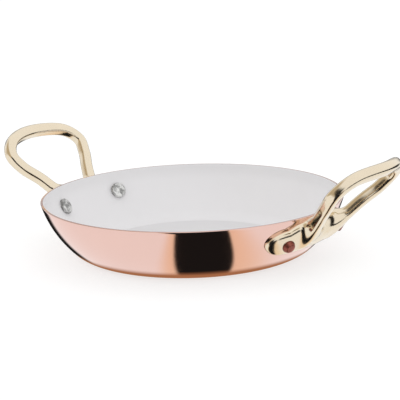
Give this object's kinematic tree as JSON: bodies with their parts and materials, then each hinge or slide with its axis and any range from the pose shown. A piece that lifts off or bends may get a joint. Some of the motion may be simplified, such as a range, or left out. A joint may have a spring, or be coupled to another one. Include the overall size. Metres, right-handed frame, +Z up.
{
  "type": "serving pan",
  "caption": "Shallow round copper serving pan with a pale steel lining, a leaning wall and cast brass loop handles riveted to opposite sides.",
  "frame": {"origin": "centre of the flat base, on the surface that the pan stands on", "axes": "+Z up, +X from the middle of the pan to the right handle, so the two handles lie along X"},
  "size_m": [0.235, 0.16, 0.0578],
  "materials": {
    "copper": "polished copper",
    "lining": "satin",
    "handle_metal": "polished",
    "rivet_copper": "darkened copper",
    "rivet_steel": "mottled"
  },
  "bodies": {
    "root": {"copper_shell": "copper", "steel_lining": "lining", "handle_right": "handle_metal", "handle_left": "handle_metal", "rivet_right_front": "rivet_copper", "rivet_right_back": "rivet_copper", "rivet_left_front": "rivet_copper", "rivet_left_back": "rivet_copper", "rivet_cap_right_front": "rivet_steel", "rivet_cap_right_back": "rivet_steel", "rivet_cap_left_front": "rivet_steel", "rivet_cap_left_back": "rivet_steel"}
  },
  "joints": []
}
